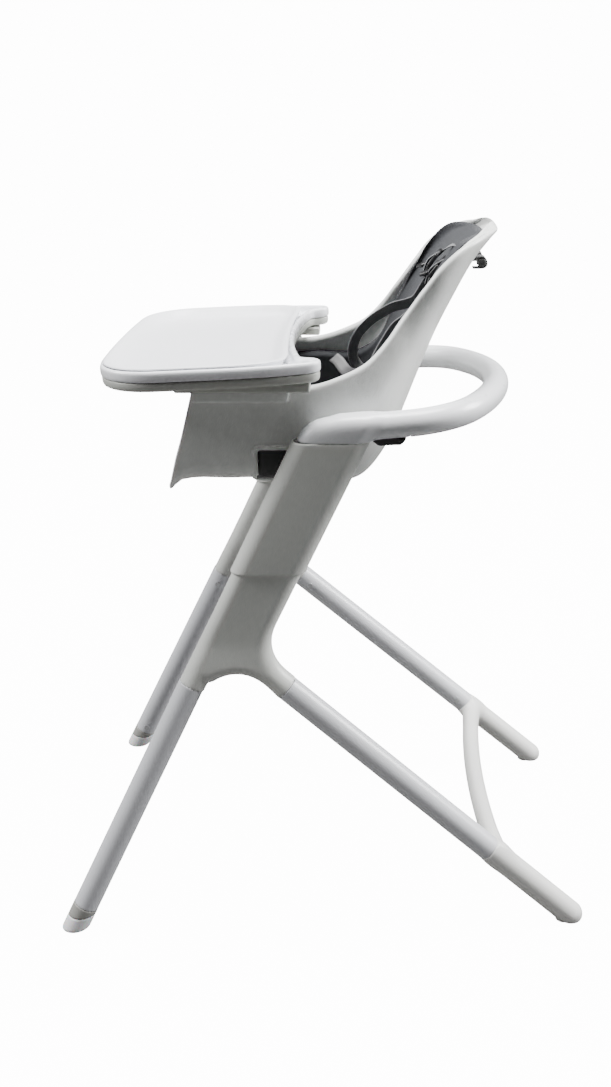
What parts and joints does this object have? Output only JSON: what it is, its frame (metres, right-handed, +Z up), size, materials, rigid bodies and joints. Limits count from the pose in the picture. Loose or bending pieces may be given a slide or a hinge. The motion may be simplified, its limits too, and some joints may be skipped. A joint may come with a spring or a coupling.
{
  "type": "baby high chair",
  "caption": "Child high chair on splayed tube legs, with a bucket seat that slides along two columns and reclines, a push handle and a lift-off tray with a liner.",
  "frame": {"origin": "on the floor, midway between the feet", "axes": "+Z up, the seated child faces -Y, +X is the child's left"},
  "size_m": [0.5754, 0.7592, 0.9808],
  "materials": {
    "housing": "soft gloss",
    "tube": "satin",
    "foot_grey": "satin",
    "foot_clear": "satin",
    "bar": "soft gloss",
    "sole": "satin",
    "steel": "satin",
    "bush": "satin",
    "handle": "soft gloss",
    "handle_strip": "satin",
    "black": "satin",
    "shell": "soft gloss",
    "pad": "satin",
    "webbing": "satin",
    "tray_white": "soft gloss",
    "tray_grey": "soft gloss"
  },
  "bodies": {
    "base": {"left_leg_housing": "housing", "right_leg_housing": "housing", "left_front_leg": "tube", "right_front_leg": "tube", "left_rear_leg": "tube", "right_rear_leg": "tube", "left_front_foot_collar": "foot_grey", "right_front_foot_collar": "foot_grey", "left_front_foot_pad": "foot_clear", "right_front_foot_pad": "foot_clear", "rear_foot_bar": "bar", "rear_foot_pads": "sole", "left_lock_rack": "steel", "right_lock_rack": "steel", "leg_screws": "steel"},
    "carriage": {"left_sleeve": "housing", "right_sleeve": "housing", "left_guide_bushes": "bush", "right_guide_bushes": "bush", "left_pawl_carrier": "bush", "right_pawl_carrier": "bush", "handle_shell": "handle", "handle_grip_strip": "handle_strip", "handle_core": "steel", "handle_screws": "steel", "left_trigger_pin": "steel", "right_trigger_pin": "steel", "left_seat_mount": "black", "right_seat_mount": "black"},
    "left_trigger": {"left_trigger": "black"},
    "right_trigger": {"right_trigger": "black"},
    "left_pawl": {"left_lock_pawl": "black"},
    "right_pawl": {"right_lock_pawl": "black"},
    "seat": {"seat_shell": "shell", "left_seat_hub": "black", "right_seat_hub": "black", "recline_lever_pin": "steel", "seat_pad": "pad", "shoulder_webbing": "webbing", "left_waist_strap": "webbing", "right_waist_strap": "webbing", "crotch_strap": "webbing", "left_buckle_tongue": "black", "right_buckle_tongue": "black", "buckle_body": "black", "rail_strike_plates": "steel"},
    "left_recline_pin": {"left_recline_pin": "steel"},
    "right_recline_pin": {"right_recline_pin": "steel"},
    "recline_lever": {"recline_lever": "black"},
    "buckle_button": {"buckle_button": "black"},
    "tray": {"tray_base": "tray_grey", "tray_top": "tray_white", "tray_magnets": "steel", "tray_screws": "steel"},
    "liner": {"tray_liner": "tray_white"}
  },
  "joints": [
    {"name": "height_slide", "type": "slide", "parent": "base", "child": "carriage", "axis": [0, 0.4305, 0.9026], "range_m": [-0.095, 0]},
    {"name": "left_trigger_pivot", "type": "hinge", "parent": "carriage", "child": "left_trigger", "pos_m": [0.205, 0.07284, 0.73121], "axis": [1, 0, 0], "range_deg": [0, 6], "stiffness_Nm_per_rad": 0.6},
    {"name": "right_trigger_pivot", "type": "hinge", "parent": "carriage", "child": "right_trigger", "pos_m": [-0.205, 0.07284, 0.73121], "axis": [1, 0, 0], "range_deg": [0, 6], "stiffness_Nm_per_rad": 0.6},
    {"name": "left_pawl_slide", "type": "slide", "parent": "carriage", "child": "left_pawl", "axis": [0, 0.9026, -0.4305], "range_m": [0, 0.004]},
    {"name": "right_pawl_slide", "type": "slide", "parent": "carriage", "child": "right_pawl", "axis": [0, 0.9026, -0.4305], "range_m": [0, 0.004]},
    {"name": "seat_recline", "type": "hinge", "parent": "carriage", "child": "seat", "pos_m": [0, -0.003, 0.683], "axis": [-1, 0, 0], "range_deg": [0, 20]},
    {"name": "recline_lever_pivot", "type": "hinge", "parent": "seat", "child": "recline_lever", "pos_m": [0, -0.028, 0.636], "axis": [-1, 0, 0], "range_deg": [0, 15], "stiffness_Nm_per_rad": 0.4},
    {"name": "left_recline_pin_slide", "type": "slide", "parent": "seat", "child": "left_recline_pin", "axis": [-1, 0, 0], "range_m": [0, 0.003]},
    {"name": "right_recline_pin_slide", "type": "slide", "parent": "seat", "child": "right_recline_pin", "axis": [1, 0, 0], "range_m": [0, 0.003]},
    {"name": "buckle_button_press", "type": "slide", "parent": "seat", "child": "buckle_button", "axis": [0, 1, 0], "range_m": [0, 0.0025], "stiffness_N_per_m": 400},
    {"name": "tray_lift", "type": "slide", "parent": "seat", "child": "tray", "axis": [0, 0, 1], "range_m": [0, 0.12]},
    {"name": "liner_lift", "type": "slide", "parent": "tray", "child": "liner", "axis": [0, 0, 1], "range_m": [0, 0.08]}
  ],
  "couplings": [
    {"joint": "left_pawl_slide", "follows": "left_trigger_pivot", "m_per_rad": 0.03724},
    {"joint": "right_pawl_slide", "follows": "right_trigger_pivot", "m_per_rad": 0.03724},
    {"joint": "left_recline_pin_slide", "follows": "recline_lever_pivot", "m_per_rad": 0.011077},
    {"joint": "right_recline_pin_slide", "follows": "recline_lever_pivot", "m_per_rad": 0.011077}
  ]
}
